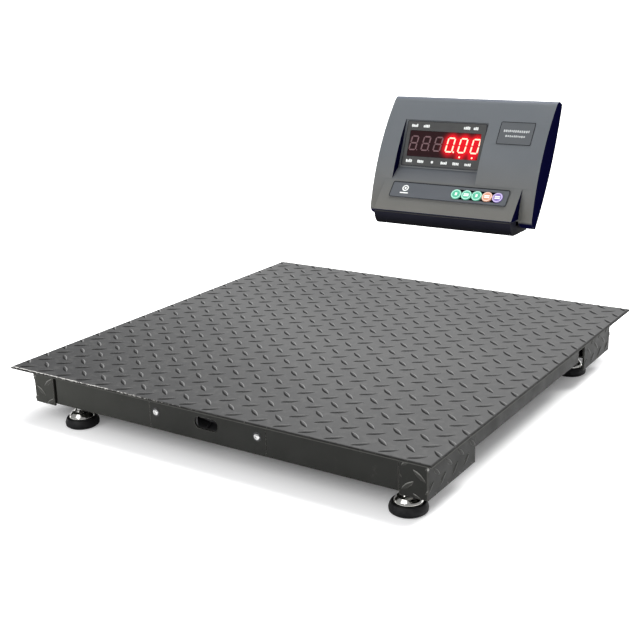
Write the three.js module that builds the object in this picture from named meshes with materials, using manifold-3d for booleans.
// Pallet scale: a square tread-plate weighing platform on four load cells, with its separate indicator.
// Millimetres, +Z up. The origin is the centre of the deck's top face. The platform's front faces -Y.

import * as THREE from 'three';
import { mergeVertices } from 'three/addons/utils/BufferGeometryUtils.js';
import Module from 'manifold-3d';

const wasm = await Module();
wasm.setup();

// ---- Driving dimensions -------------------------------------------------------------------------

const deckSide = 1000;
const deckThickness = 6.5; // 5 mm plate and 1.5 mm of raised tread
const weldGap = 0.3; // left between welded or bolted pieces so that their solids stay apart
const standingHeight = 110.5; // deck top to floor
const sheet = 4.5; // wall of the channels and rails
const plate = 5; // wall of the corner gussets
const over = 5; // how far a cutting tool reaches past the face that it cuts
const through = 20; // half the length of a tool that cuts through a wall

// The welded frame's outer faces, measured from the deck's centre.
const frameLeft = -436;
const frameRight = 492;
const frameFront = -497;
const frameRear = 388.5;
const frameTop = -deckThickness - weldGap;

const channelBottom = -63;
const channelDepth = 56;
const rearChannelBack = 339;
const gussetBottom = -69;
const gussetFrontWidth = 56;
const gussetLength = { front: 179, rear: 161 }; // along the sides
const gussetReveal = 9; // open line between the front left gusset and its channel
const railBottom = -40;
const railWidth = 40;
const railEndGap = 37;

const coverLeft = -115;
const coverRight = 162;
const coverScrewX = [-99, 143];
const coverScrewZ = -27;
const coverScrewRadius = 4;
const coverLip = 18; // the flange along the cover's lower edge, from front to back
const slot = { x: 24, z: -27, length: 56, height: 24 };

const cell = { length: 130, width: 32, top: -21, bottom: -53, footInset: 17 };
const spacerLength = 56;
const gaugePocket = { radius: 11, depth: 8, fromFoot: 42 };
const stud = { radius: 8, top: -27, clearance: 0.3, holeRadius: 15, hexagonRadius: 12.5, hexagonHeight: 5 };
const cup = { radius: 26, top: -74, bottom: -91 };
const pad = { radius: 35, height: 19.2 };
// Foot centres, and the way each load cell runs inwards from its foot.
const feet = [
  { name: 'front_left', x: -332, y: -470, inward: 1 },
  { name: 'front_right', x: 440, y: -470, inward: -1 },
  { name: 'rear_left', x: -332, y: 305, inward: 1 },
  { name: 'rear_right', x: 432, y: 305, inward: -1 },
];

const ribX = [-204, 28, 260];
const rib = { width: 60, height: 40, wall: 4 };
const junction = { x: 108, y: -398, width: 90, depth: 64, height: 36, wall: 3, lid: 3 };

// The indicator is held clear of the platform, beside its front right corner.
const indicatorPlace = { x: 616, y: -680, z: 441 };
const caseWidth = 236;
const wall = 3;
// The main face is a shallow arch between its foot and its top, bulging out from a leaning chord.
const faceTilt = THREE.MathUtils.degToRad(28); // the chord, leaning back from vertical
const faceFoot = { y: 0, z: 16 };
const faceLength = 168;
const faceBulge = 12;
const shellThickness = 14; // at the arch's two ends, square to the chord
const backBulge = 8;
const backCover = 2.2;
const topRounding = 9;
const footRounding = 7;
const displayTilt = THREE.MathUtils.degToRad(21);
const displayLength = 66;
const recessX = [-90, 33.5];
const recessShare = 0.775; // of the way up the face, to the recess's top edge
const recessSink = 1;
const recessReach = 40; // how far in front of the face the recess's cutting tool starts
const keypadTilt = THREE.MathUtils.degToRad(43);
const keypadLength = 49;
const consoleShare = 0.262; // of the way up the face, to the console's top edge
const consoleHalf = 99.5;
const consoleSkirt = 1.5; // the console's lower edge, below its lip
const seam = 0.5; // open line between the console and the tray
const consoleDepth = 8; // the console's block, behind its top edge
const behindReach = 6; // how far a hollow reaches out through an open back
const beyond = 300; // past every outer face of the case
const below = -20; // under the case

const tray = { half: 99, bottom: 3, sideTop: 13.6, front: -4, back: 30, chinDepth: 11 };
const box = { half: 80, back: 118, backHalf: 57, shoulder: 72, top: 122, topBack: 98 };

const mask = { x: -27.3, width: 118, height: 62, up: 33, thickness: 1.2 };
const glass = { width: 105, height: 35, thickness: 1.6, sunk: 0.6 };
const lamps = { width: 102, height: 32, front: -1.2, back: -10 };
const board = { width: 116, below: 27, above: 25, front: -10.4, back: -12.2 };
const panel = { x: 0.5, up: 32.9, width: 170, height: 24, thickness: 1 };
const keyRadius = 7.15;
const keyPitch = 14.6;
const keyX = 42; // the middle key
const keyUp = 32.4;
const keyThickness = 2.6;
const keyProud = 0.8;
const keyNames = ['function', 'select', 'tare', 'zero', 'total'];
const label = { x: 74.5, share: 0.695, width: 47.5, height: 32, thickness: 0.8, pocket: 1.1, clearance: 0.4 };

const battery = { x: [-50, 50], y: [25, 95], z: [6.5, 53.5] };
const socket = { x: -36, z: 36, hole: 9.4 };
const inlet = { x: -2, z: 32.5, width: 28.2, height: 20.2, rimWidth: 37, rimHeight: 27 };
const rockerPivot = { x: 38, y: 115, z: 34.75 };
const rockerTip = THREE.MathUtils.degToRad(7);
const rockerHole = { width: 13.2, height: 21.5 };
const caseFeet = [['front_left', -84, 12], ['front_right', 84, 12], ['rear_left', -48, 104],
  ['rear_right', 48, 104]];

// ---- Materials ----------------------------------------------------------------------------------

function material(color, roughness, metalness) {
  return new THREE.MeshStandardMaterial({ color, roughness, metalness });
}

const deckPaint = material(0x6f6f70, 0.55, 0.3);
const framePaint = material(0x33332f, 0.5, 0.2);
const zincSteel = material(0xb9bcbd, 0.35, 0.9);
const cellSteel = material(0xa9abaf, 0.4, 0.85);
const chromedSteel = material(0xd8d6ce, 0.12, 1);
const blackRubber = material(0x18191a, 0.8, 0);
const caseGrey = material(0x666c74, 0.45, 0);
const boxGrey = material(0x8c8f90, 0.5, 0.3);
const glassRed = material(0x3a0508, 0.15, 0);
const maskGrey = material(0x4f5047, 0.5, 0);
const boardGreen = material(0x1d5b35, 0.5, 0.1);
const blackPlastic = material(0x16171a, 0.45, 0);
const keyColours = [0x57b998, 0x57b998, 0x57b998, 0xd9947c, 0x8a76b8];

// ---- Solids -------------------------------------------------------------------------------------

function toSolid(geometry) {
  const bare = geometry.clone();
  for (const name of Object.keys(bare.attributes)) {
    if (name !== 'position') bare.deleteAttribute(name);
  }
  const merged = mergeVertices(bare, 1e-4);
  return new wasm.Manifold(new wasm.Mesh({
    numProp: 3,
    vertProperties: new Float32Array(merged.attributes.position.array),
    triVerts: new Uint32Array(merged.index.array),
  }));
}

function toGeometry(solid) {
  const mesh = solid.getMesh();
  const geometry = new THREE.BufferGeometry();
  geometry.setAttribute('position', new THREE.BufferAttribute(mesh.vertProperties, 3));
  geometry.setIndex(new THREE.BufferAttribute(mesh.triVerts, 1));
  geometry.computeVertexNormals();
  return geometry;
}

// A box between two corners.
function block(x0, x1, y0, y1, z0, z1) {
  const geometry = new THREE.BoxGeometry(x1 - x0, y1 - y0, z1 - z0);
  geometry.translate((x0 + x1) / 2, (y0 + y1) / 2, (z0 + z1) / 2);
  return geometry;
}

// A closed profile of [y, z] points or a Shape, drawn out along X.
function alongX(profile, x0, x1) {
  const outline = profile instanceof THREE.Shape ? profile : shapeOf(profile);
  const geometry = new THREE.ExtrudeGeometry(outline, {
    depth: x1 - x0, bevelEnabled: false, curveSegments: 6,
  });
  const turn = new THREE.Matrix4().makeBasis(
    new THREE.Vector3(0, 1, 0), new THREE.Vector3(0, 0, 1), new THREE.Vector3(1, 0, 0));
  geometry.applyMatrix4(turn);
  geometry.translate(x0, 0, 0);
  return geometry;
}

// A closed profile of [x, z] points, drawn out along Y.
function alongY(profile, y0, y1) {
  const geometry = new THREE.ExtrudeGeometry(shapeOf(profile), {
    depth: y1 - y0, bevelEnabled: false, curveSegments: 8,
  });
  const turn = new THREE.Matrix4().makeBasis(
    new THREE.Vector3(1, 0, 0), new THREE.Vector3(0, 0, 1), new THREE.Vector3(0, -1, 0));
  geometry.applyMatrix4(turn);
  geometry.translate(0, y1, 0);
  return geometry;
}

// A closed profile of [x, y] points or a Shape, drawn up from z0 to z1.
function alongZ(profile, z0, z1) {
  const outline = profile instanceof THREE.Shape ? profile : shapeOf(profile);
  const geometry = new THREE.ExtrudeGeometry(outline, {
    depth: z1 - z0, bevelEnabled: false, curveSegments: 8,
  });
  geometry.translate(0, 0, z0);
  return geometry;
}

function shapeOf(points) {
  return new THREE.Shape(points.map(([a, b]) => new THREE.Vector2(a, b)));
}

// A round-cornered rectangle centred on the origin.
function roundedRect(width, height, radius) {
  const shape = new THREE.Shape();
  const [a, b] = [width / 2, height / 2];
  shape.moveTo(-a + radius, -b);
  shape.lineTo(a - radius, -b);
  shape.absarc(a - radius, -b + radius, radius, -Math.PI / 2, 0);
  shape.lineTo(a, b - radius);
  shape.absarc(a - radius, b - radius, radius, 0, Math.PI / 2);
  shape.lineTo(-a + radius, b);
  shape.absarc(-a + radius, b - radius, radius, Math.PI / 2, Math.PI);
  shape.lineTo(-a, -b + radius);
  shape.absarc(-a + radius, -b + radius, radius, Math.PI, 1.5 * Math.PI);
  return shape;
}

// A slot with round ends, centred on the origin.
function obround(length, height) {
  const shape = new THREE.Shape();
  const r = height / 2;
  const run = length / 2 - r;
  shape.absarc(run, 0, r, -Math.PI / 2, Math.PI / 2);
  shape.absarc(-run, 0, r, Math.PI / 2, 1.5 * Math.PI);
  return shape;
}

// A body of revolution about Z from [radius, z] points that start and end on the axis.
function turned(profile, segments = 32) {
  const points = profile.map(([r, z]) => new THREE.Vector2(r, z));
  const geometry = new THREE.LatheGeometry(points, segments);
  geometry.rotateX(Math.PI / 2);
  return geometry;
}

function rod(radius, z0, z1, segments = 24) {
  return turned([[0, z0], [radius, z0], [radius, z1], [0, z1]], segments);
}

// Turns geometry made along Z so that it runs along -Y, and moves it to a place.
function facingFront(geometry, x, y, z) {
  geometry.rotateX(Math.PI / 2);
  geometry.translate(x, y, z);
  return geometry;
}

function cut(geometry, ...tools) {
  let solid = toSolid(geometry);
  for (const tool of tools) solid = solid.subtract(toSolid(tool));
  return toGeometry(solid);
}

function join(...pieces) {
  return toGeometry(pieces.map(toSolid).reduce((a, b) => a.add(b)));
}

function node(parent, name, geometry, look) {
  const mesh = new THREE.Mesh(geometry, look);
  mesh.name = name;
  parent.add(mesh);
  return mesh;
}

// ---- Platform -----------------------------------------------------------------------------------

const scale = new THREE.Group();

function buildDeck() {
  const half = deckSide / 2;
  node(scale, 'deck_plate', block(-half, half, -half, half, -deckThickness, 0), deckPaint);
}

// A C section whose web faces the outside and whose flanges reach inwards. outer is the web's outer
// face, and inwards is +1 when the flanges run towards +Y.
function channelProfile(outer, inwards) {
  const web = outer + inwards * sheet;
  const tip = outer + inwards * channelDepth;
  const points = [
    [outer, frameTop], [tip, frameTop], [tip, frameTop - sheet], [web, frameTop - sheet],
    [web, channelBottom + sheet], [tip, channelBottom + sheet], [tip, channelBottom],
    [outer, channelBottom],
  ];
  return inwards > 0 ? points.reverse() : points;
}

function footHole(foot) {
  const hole = rod(stud.holeRadius, channelBottom - over, channelBottom + sheet + over);
  hole.translate(foot.x, foot.y, 0);
  return hole;
}

function buildChannels() {
  const front = channelProfile(frameFront, 1);
  const gussetEnd = frameRight - gussetFrontWidth;
  const start = frameLeft + gussetFrontWidth + gussetReveal;
  const left = alongX(front, start, coverLeft - weldGap);
  node(scale, 'front_channel_left', cut(left, footHole(feet[0])), framePaint);
  const right = alongX(front, coverRight + weldGap, gussetEnd - weldGap);
  node(scale, 'front_channel_right', cut(right, footHole(feet[1])), framePaint);
  const rear = alongX(channelProfile(rearChannelBack, -1), frameLeft + plate + 1,
    frameRight - plate - 1);
  node(scale, 'rear_channel', cut(rear, footHole(feet[2]), footHole(feet[3])), framePaint);
}

// The plate between the two front channels that comes off to reach the wiring.
function buildCover() {
  const web = block(coverLeft, coverRight, frameFront, frameFront + sheet, channelBottom, frameTop);
  const lip = block(coverLeft, coverRight, frameFront, frameFront + coverLip,
    channelBottom, channelBottom + sheet);
  const slotTool = alongZ(obround(slot.length, slot.height), -through, through);
  const holes = coverScrewX.map((x) => facingFront(
    rod(coverScrewRadius + weldGap, -through, through), x, frameFront, coverScrewZ));
  const body = join(web, lip);
  const cover = cut(body, facingFront(slotTool, slot.x, frameFront, slot.z), ...holes);
  node(scale, 'access_cover', cover, framePaint);
  const sides = ['left', 'right'];
  coverScrewX.forEach((x, i) => {
    const r = coverScrewRadius;
    const screw = turned([[0, -14], [r, -14], [r, 0.3], [6.5, 0.3], [6.5, 2.2], [5, 3.4], [0, 3.4]], 24);
    node(scale, `cover_screw_${sides[i]}`, facingFront(screw, x, frameFront, coverScrewZ), zincSteel);
  });
}

// An L-shaped corner piece folded from tread plate: a short leg across the front or rear and a long leg
// along the side. a and b are its outer corner, and sideX and sideY are the ways it faces.
function gusset(a, b, sideX, sideY, length) {
  const outline = [
    [a, b], [a - sideX * gussetFrontWidth, b], [a - sideX * gussetFrontWidth, b - sideY * plate],
    [a - sideX * plate, b - sideY * plate], [a - sideX * plate, b - sideY * length],
    [a, b - sideY * length],
  ];
  return alongZ(sideX * sideY < 0 ? outline.reverse() : outline, gussetBottom, frameTop);
}

function buildGussets() {
  for (const [depthName, y, sideY] of [['front', frameFront, -1], ['rear', frameRear, 1]]) {
    for (const [sideName, x, sideX] of [['left', frameLeft, -1], ['right', frameRight, 1]]) {
      node(scale, `corner_gusset_${depthName}_${sideName}`, gusset(x, y, sideX, sideY, gussetLength[depthName]),
        framePaint);
    }
  }
}

// An angle along each side between the corner gussets, its upper leg welded under the deck.
function buildRails() {
  const y0 = frameFront + gussetLength.front + weldGap;
  const y1 = frameRear - gussetLength.rear - railEndGap;
  for (const [name, outer, inwards] of [['left', frameLeft, 1], ['right', frameRight, -1]]) {
    const leg = outer + inwards * sheet;
    const tip = outer + inwards * railWidth;
    const angle = [
      [outer, frameTop], [outer, railBottom], [leg, railBottom], [leg, frameTop - sheet],
      [tip, frameTop - sheet], [tip, frameTop],
    ];
    const outline = inwards > 0 ? angle : angle.reverse();
    node(scale, `side_rail_${name}`, alongY(outline, y0, y1), framePaint);
  }
}

// Inverted channels under the deck, from the front channel back to the rear one.
function buildRibs() {
  const y0 = frameFront + channelDepth + weldGap;
  const y1 = rearChannelBack - channelDepth - weldGap;
  const bottom = frameTop - rib.height;
  ribX.forEach((x, i) => {
    const a = rib.width / 2;
    const outline = [
      [x - a, frameTop], [x - a, bottom], [x - a + rib.wall, bottom],
      [x - a + rib.wall, frameTop - rib.wall], [x + a - rib.wall, frameTop - rib.wall],
      [x + a - rib.wall, bottom], [x + a, bottom], [x + a, frameTop],
    ];
    node(scale, `deck_rib_${i + 1}`, alongY(outline, y0, y1), framePaint);
  });
}

// A shear-beam load cell: its outer end carries the foot, and its inner end hangs from the frame.
function buildLoadCells() {
  for (const foot of feet) {
    const outerEnd = foot.x - foot.inward * cell.footInset;
    const innerEnd = outerEnd + foot.inward * cell.length;
    const x0 = Math.min(outerEnd, innerEnd);
    const x1 = Math.max(outerEnd, innerEnd);
    const half = cell.width / 2;
    const bar = block(x0, x1, foot.y - half, foot.y + half, cell.bottom, cell.top);
    const thread = rod(stud.radius + stud.clearance, cell.bottom - over, cell.top + over);
    thread.translate(foot.x, foot.y, 0);
    const pocket = facingFront(rod(gaugePocket.radius, -gaugePocket.depth, gaugePocket.depth),
      foot.x + foot.inward * gaugePocket.fromFoot, foot.y - half, (cell.top + cell.bottom) / 2);
    node(scale, `load_cell_${foot.name}`, cut(bar, thread, pocket), cellSteel);
    const s0 = foot.inward > 0 ? x1 - spacerLength : x0;
    const base = cell.top + weldGap;
    const ceiling = frameTop - sheet - weldGap;
    const slab = block(s0, s0 + spacerLength, foot.y - half, foot.y + half, base, ceiling);
    node(scale, `load_cell_spacer_${foot.name}`, slab, zincSteel);
  }
}

// A levelling foot: a threaded stud with a hexagon for the spanner, a domed steel cup and a rubber pad.
function buildFeet() {
  const floor = -standingHeight;
  for (const foot of feet) {
    const group = new THREE.Group();
    group.position.set(foot.x, foot.y, 0);
    scale.add(group);
    const shank = rod(stud.radius, cup.top + 0.5, stud.top, 20);
    const hexagon = rod(stud.hexagonRadius, cup.top + weldGap, cup.top + stud.hexagonHeight, 6);
    node(group, `foot_stud_${foot.name}`, join(shank, hexagon), zincSteel);
    const dome = turned([
      [0, cup.bottom], [cup.radius, cup.bottom], [cup.radius, cup.bottom + 2.5],
      [cup.radius - 2, cup.bottom + 6], [cup.radius - 6, cup.bottom + 10.5],
      [cup.radius - 12, cup.bottom + 14.5], [cup.radius - 14.5, cup.top], [0, cup.top],
    ], 32);
    node(group, `foot_cup_${foot.name}`, dome, chromedSteel);
    const rubber = turned([
      [0, floor], [pad.radius - 3, floor], [pad.radius, floor + 4],
      [pad.radius, floor + pad.height - 6], [pad.radius - 3, floor + pad.height - 1.5],
      [pad.radius - 7, floor + pad.height], [0, floor + pad.height],
    ], 32);
    node(group, `foot_pad_${foot.name}`, rubber, blackRubber);
  }
}

// The box that joins the four cell cables. Its open side and lid face the floor.
function buildJunctionBox() {
  const { x, y, width, depth, height, wall: skin } = junction;
  const top = frameTop - weldGap;
  const bottom = top - height;
  const shell = block(x, x + width, y, y + depth, bottom, top);
  const room = block(x + skin, x + width - skin, y + skin, y + depth - skin, bottom - over, top - skin);
  node(scale, 'junction_box', cut(shell, room), boxGrey);
  const lid = block(x, x + width, y, y + depth, bottom - weldGap - junction.lid, bottom - weldGap);
  node(scale, 'junction_box_lid', lid, boxGrey);
}

// ---- Indicator ----------------------------------------------------------------------------------
// Its own frame: X across the case, Y from the front edge backwards, Z up from the standing plane.

const indicator = new THREE.Group();
indicator.position.set(indicatorPlace.x, indicatorPlace.y, indicatorPlace.z);
scale.add(indicator);

// A point so far along a leaning line that starts at a point.
function leaning(start, tilt, distance) {
  return { y: start.y + distance * Math.sin(tilt), z: start.z + distance * Math.cos(tilt) };
}

// A point of the arched face: a share of the way up the chord, and sunk below the surface.
function faceAt(share, sink = 0) {
  const chord = leaning(faceFoot, faceTilt, share * faceLength);
  const out = faceBulge * (1 - (2 * share - 1) ** 2) - sink;
  return { y: chord.y - out * Math.cos(faceTilt), z: chord.z + out * Math.sin(faceTilt) };
}

// A point of the shell's open back edge.
function backAt(share, further = 0) {
  const chord = leaning(faceFoot, faceTilt, share * faceLength);
  const inwards = shellThickness + backBulge * (1 - (2 * share - 1) ** 2) + further;
  return { y: chord.y + inwards * Math.cos(faceTilt), z: chord.z - inwards * Math.sin(faceTilt) };
}

// How far the arched face leans at a share of the way up.
function faceTiltAt(share) {
  return faceTilt + Math.atan(4 * faceBulge * (2 * share - 1) / faceLength);
}

const recessTop = faceAt(recessShare, recessSink);
const displayFoot = leaning(recessTop, displayTilt, -displayLength);
const consoleTop = faceAt(consoleShare);
const lip = leaning(consoleTop, keypadTilt, -keypadLength);
const chinTop = lip.z - consoleSkirt - seam;

// A group whose Y runs up a leaning surface and whose Z points out of it.
function leaningGroup(start, tilt, x = 0) {
  const group = new THREE.Group();
  group.position.set(x, start.y, start.z);
  group.rotation.x = Math.PI / 2 - tilt;
  indicator.add(group);
  return group;
}

function range(from, to, steps) {
  return Array.from({ length: steps + 1 }, (_, i) => from + (to - from) * i / steps);
}

// The arched front shell: its round foot, its face, its round top and its back edge. A hollow is the
// same shape made smaller by an inset, and reaches out through the open back.
function shellProfile(inset, throughBack = 0) {
  const start = (footRounding + inset) / faceLength;
  const end = 1 - (topRounding + inset) / faceLength;
  const corner = (share, sink) => [faceAt(share, sink).y, faceAt(share, sink).z];
  const shape = new THREE.Shape();
  shape.moveTo(...corner(inset / faceLength, footRounding));
  shape.quadraticCurveTo(...corner(inset / faceLength, inset), ...corner(start, inset));
  for (const share of range(start, end, 16).slice(1)) shape.lineTo(...corner(share, inset));
  const topShare = 1 - inset / faceLength;
  shape.quadraticCurveTo(...corner(topShare, inset), ...corner(topShare, topRounding + inset));
  for (const share of range(topShare, inset / faceLength, 12)) {
    const { y, z } = backAt(share, throughBack);
    shape.lineTo(y, z);
  }
  return shape;
}

function recessProfile(grow) {
  return [
    [consoleTop.y, consoleTop.z], [displayFoot.y + grow, displayFoot.z],
    [recessTop.y + grow, recessTop.z + grow * 0.5], [recessTop.y - recessReach, recessTop.z + grow * 0.5],
    [consoleTop.y - recessReach, consoleTop.z],
  ];
}

// The console's skin from its skirt over the lip and up to the face. It is open below and behind.
function consoleProfile(inset) {
  const lift = inset / Math.sin(keypadTilt);
  const skirt = lip.z - consoleSkirt - (inset ? through : 0);
  const back = consoleTop.y + (inset ? through : consoleDepth);
  return [
    [lip.y + inset, lip.z - inset * 0.4], [consoleTop.y, consoleTop.z - lift],
    [back, consoleTop.z - lift], [back, skirt], [lip.y + 0.8 + inset, skirt],
  ];
}

// Everything behind the shell's back edge.
function behindProfile() {
  const edge = range(0, 1, 12).map((share) => [backAt(share).y, backAt(share).z]);
  return [[edge[0][0], below], [beyond, below], [beyond, beyond], [edge.at(-1)[0], beyond],
    ...edge.reverse()];
}

function buildFrontCase() {
  const half = caseWidth / 2;
  const [r0, r1] = recessX;
  const c = consoleHalf;
  const frame = toSolid(alongX(shellProfile(0), -half, half));
  const hollow = toSolid(alongX(shellProfile(wall, behindReach), -half + wall, half - wall));
  const pocket = toSolid(alongX(recessProfile(0), r0, r1));
  const pocketWall = toSolid(alongX(recessProfile(wall), r0 - wall, r1 + wall));
  const deskShell = toSolid(alongX(consoleProfile(0), -c, c));
  const deskRoom = toSolid(alongX(consoleProfile(wall), -c + wall, c - wall));
  const behind = toSolid(alongX(behindProfile(), -half - over, half + over));
  let shell = frame.subtract(hollow);
  shell = shell.add(pocketWall.intersect(frame).subtract(pocket));
  shell = shell.add(deskShell).subtract(deskRoom).subtract(pocket).subtract(behind);
  // Between the two legs the shell ends above the tray.
  shell = shell.subtract(toSolid(block(-c, c, -beyond, box.back, below, lip.z - consoleSkirt)));

  // Openings for the glass and its lamps, and for the keys, and the shallow pocket for the label.
  const opening = alongZ(roundedRect(glass.width + 1, glass.height + 1, 1), -12, 6);
  const windowTool = seated(opening, displayFoot, displayTilt, mask.x, mask.up);
  const keySlot = alongZ(obround(keyPitch * 4 + 2 * keyRadius + 1.2, 2 * keyRadius + 1.2), -12, 6);
  const keyTool = seated(keySlot, lip, keypadTilt, keyX, keyUp);
  const room = 2 * label.clearance;
  const labelBed = alongZ(roundedRect(label.width + room, label.height + room, 2), -label.pocket, 6);
  const labelTool = seated(labelBed, faceAt(label.share), faceTiltAt(label.share), label.x, 0);
  for (const tool of [windowTool, keyTool, labelTool]) shell = shell.subtract(toSolid(tool));
  node(indicator, 'indicator_front_case', toGeometry(shell), caseGrey);
}

// Moves geometry that is drawn about the origin of a leaning surface onto that surface.
function seated(geometry, start, tilt, x, up) {
  geometry.translate(x, up, 0);
  geometry.rotateX(Math.PI / 2 - tilt);
  geometry.translate(0, start.y, start.z);
  return geometry;
}

// The tray's side view: a round chin under the console, then a flat floor.
function trayProfile() {
  const chin = range(0, Math.PI / 2, 8).map((angle) => [
    lip.y + tray.chinDepth * (1 - Math.cos(angle)),
    chinTop - 1 - (chinTop - 1 - tray.bottom) * Math.sin(angle),
  ]);
  return [
    [lip.y + 0.6, chinTop], ...chin, [tray.back, tray.bottom], [tray.back, tray.sideTop],
    [tray.front, tray.sideTop], [tray.front, chinTop],
  ];
}

// The box behind the shell, its front following the shell's back edge, and its plan narrowing backwards.
function boxProfile(inset, throughFront = 0) {
  const gap = weldGap - throughFront;
  const edge = range(0, 1, 12).map((share) => [backAt(share, gap).y, backAt(share, gap).z]);
  const seen = edge.filter(([, z]) => z > tray.bottom + inset && z < box.top - inset);
  const [low, high] = [seen[0], seen.at(-1)];
  return [
    [low[0], tray.bottom + inset], [box.back - inset, tray.bottom + inset],
    [box.back - inset, box.shoulder], [box.topBack - inset, box.top - inset],
    [high[0] + 2, box.top - inset], ...seen.reverse(),
  ];
}

function boxPlan(inset) {
  const [a, b] = [box.half - inset, box.backHalf - inset];
  return [[-a, 0], [a, 0], [a, tray.back], [b, box.back], [-b, box.back], [-a, tray.back]];
}

// The thin cover that closes the shell's open back edge.
function backCoverProfile() {
  const near = range(0, 1, 12).map((share) => backAt(share, weldGap));
  const far = range(1, 0, 12).map((share) => backAt(share, weldGap + backCover));
  return [...near, ...far].map(({ y, z }) => [y, z]).reverse();
}

function buildRearCase() {
  const outer = toSolid(alongX(boxProfile(0), -box.half, box.half))
    .intersect(toSolid(alongZ(boxPlan(0), below, beyond)));
  const inner = toSolid(alongX(boxProfile(wall, behindReach), -box.half, box.half))
    .intersect(toSolid(alongZ(boxPlan(wall), below, beyond)));
  const cover = toSolid(alongX(backCoverProfile(), -caseWidth / 2 + 0.5, caseWidth / 2 - 0.5));
  const trayBody = toSolid(alongX(trayProfile(), -tray.half, tray.half));
  const floor = tray.bottom + wall;
  const trayRoom = toSolid(block(-tray.half + wall, tray.half - wall, lip.y + 6, tray.back - wall,
    floor, 60));
  const passage = toSolid(block(-box.half + wall, box.half - wall, 0, tray.back + 8, floor, 60));
  const holes = [
    facingFront(rod(socket.hole, -through, through), socket.x, box.back, socket.z),
    block(inlet.x - inlet.width / 2 - 0.4, inlet.x + inlet.width / 2 + 0.4, box.back - 10, box.back + 10,
      inlet.z - inlet.height / 2 - 0.4, inlet.z + inlet.height / 2 + 0.4),
    block(rockerPivot.x - rockerHole.width / 2, rockerPivot.x + rockerHole.width / 2,
      box.back - 10, box.back + 10,
      rockerPivot.z - rockerHole.height / 2, rockerPivot.z + rockerHole.height / 2),
  ];
  let body = outer.add(trayBody).add(cover).subtract(inner).subtract(trayRoom).subtract(passage);
  for (const hole of holes) body = body.subtract(toSolid(hole));
  node(indicator, 'indicator_rear_case', toGeometry(body), caseGrey);
}

function buildDisplay() {
  const plane = leaningGroup(displayFoot, displayTilt, mask.x);
  const outline = roundedRect(mask.width, mask.height, 2);
  outline.holes.push(roundedRect(glass.width + 0.6, glass.height + 0.6, 1));
  const ring = alongZ(outline, weldGap, weldGap + mask.thickness);
  ring.translate(0, mask.up, 0);
  node(plane, 'display_mask', ring, maskGrey);
  const pane = alongZ(roundedRect(glass.width, glass.height, 1), -glass.sunk, glass.thickness - glass.sunk);
  pane.translate(0, mask.up, 0);
  node(plane, 'display_window', pane, glassRed);
  const w = lamps.width / 2;
  const h = lamps.height / 2;
  node(plane, 'led_display', block(-w, w, mask.up - h, mask.up + h, lamps.back, lamps.front), blackPlastic);
  node(plane, 'main_board', block(-board.width / 2, board.width / 2, mask.up - board.below,
    mask.up + board.above, board.back, board.front), boardGreen);
}

function buildKeypad() {
  const plane = leaningGroup(lip, keypadTilt);
  const outline = roundedRect(panel.width, panel.height, 3);
  const opening = obround(keyPitch * 4 + 2 * keyRadius + 0.8, 2 * keyRadius + 0.8);
  const hole = alongZ(opening, -5, 5);
  hole.translate(keyX - panel.x, keyUp - panel.up, 0);
  const sheetPanel = cut(alongZ(outline, weldGap, weldGap + panel.thickness), hole);
  sheetPanel.translate(panel.x, panel.up, 0);
  node(plane, 'keypad_panel', sheetPanel, caseGrey);
  const top = weldGap + panel.thickness + keyProud;
  keyNames.forEach((name, i) => {
    const key = turned([
      [0, top - keyThickness], [keyRadius, top - keyThickness], [keyRadius, top - 0.4],
      [keyRadius - 0.5, top], [0, top],
    ], 24);
    key.translate(keyX + (i - 2) * keyPitch, keyUp, 0);
    node(plane, `key_${name}`, key, material(keyColours[i], 0.5, 0));
  });
}

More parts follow.
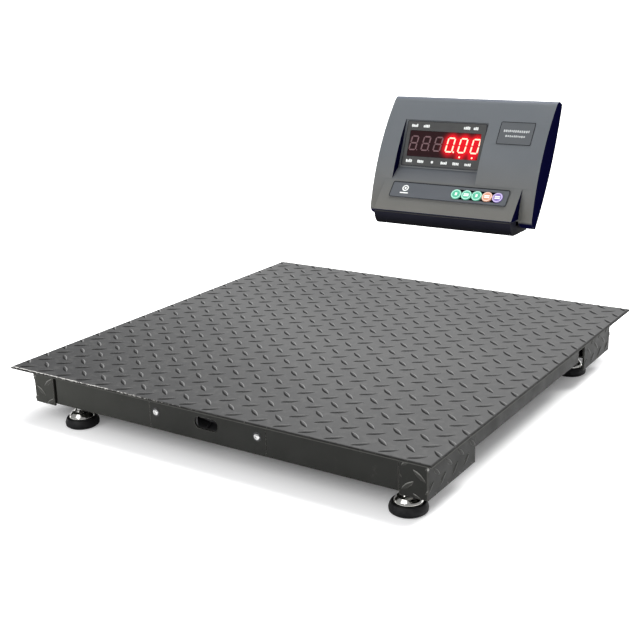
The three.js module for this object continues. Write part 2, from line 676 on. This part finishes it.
function buildLabel() {
  const face = leaningGroup(faceAt(label.share), faceTiltAt(label.share));
  const floor = weldGap - label.pocket;
  const tag = alongZ(roundedRect(label.width, label.height, 2), floor, floor + label.thickness);
  tag.translate(label.x, 0, 0);
  node(face, 'label_plate', tag, material(0x5f6770, 0.4, 0));
}

function buildRearParts() {
  // A sealed rechargeable battery on the floor of the case.
  node(indicator, 'battery', block(...battery.x, ...battery.y, ...battery.z), material(0x8f9194, 0.6, 0));
  // The round socket for the load-cell cable.
  const shellOfSocket = turned([
    [0, -10], [9, -10], [9, 0.3], [12, 0.3], [12, 3], [9.5, 3], [9.5, 9], [7.5, 9], [7.5, 1], [0, 1],
  ], 24);
  shellOfSocket.rotateX(-Math.PI / 2);
  shellOfSocket.translate(socket.x, box.back, socket.z);
  node(indicator, 'cell_cable_socket', shellOfSocket, zincSteel);
  const { x, z, width, height, rimWidth, rimHeight } = inlet;
  const centred = (w, h, y0, y1) => block(x - w / 2, x + w / 2, y0, y1, z - h / 2, z + h / 2);
  const back = box.back;
  const inletBody = join(centred(width, height, back - 16, back + 1),
    centred(rimWidth, rimHeight, back + 0.3, back + 2.3));
  const well = centred(width - 5.2, height - 5.2, back - 12, back + 10);
  node(indicator, 'power_inlet', cut(inletBody, well), blackPlastic);
  // A rocker that tips about the middle of its opening, its upper half standing proud at rest.
  const rockerFace = [[-8, -8.8], [4, -8.8], [2.8, 0], [4, 8.8], [-8, 8.8]];
  const rocker = new THREE.Group();
  rocker.position.set(rockerPivot.x, rockerPivot.y, rockerPivot.z);
  rocker.rotation.x = -rockerTip;
  indicator.add(rocker);
  node(rocker, 'power_switch', alongX(rockerFace, -5.6, 5.6), blackPlastic);
}

function buildIndicatorFeet() {
  const top = tray.bottom - weldGap;
  for (const [name, x, y] of caseFeet) {
    const disc = turned([[0, 0], [6, 0], [7, 1], [7, top], [0, top]], 20);
    disc.translate(x, y, 0);
    node(indicator, `indicator_foot_${name}`, disc, blackRubber);
  }
}

buildDeck();
buildChannels();
buildCover();
buildGussets();
buildRails();
buildRibs();
buildLoadCells();
buildFeet();
buildJunctionBox();
buildFrontCase();
buildRearCase();
buildDisplay();
buildKeypad();
buildLabel();
buildRearParts();
buildIndicatorFeet();

export default scale;
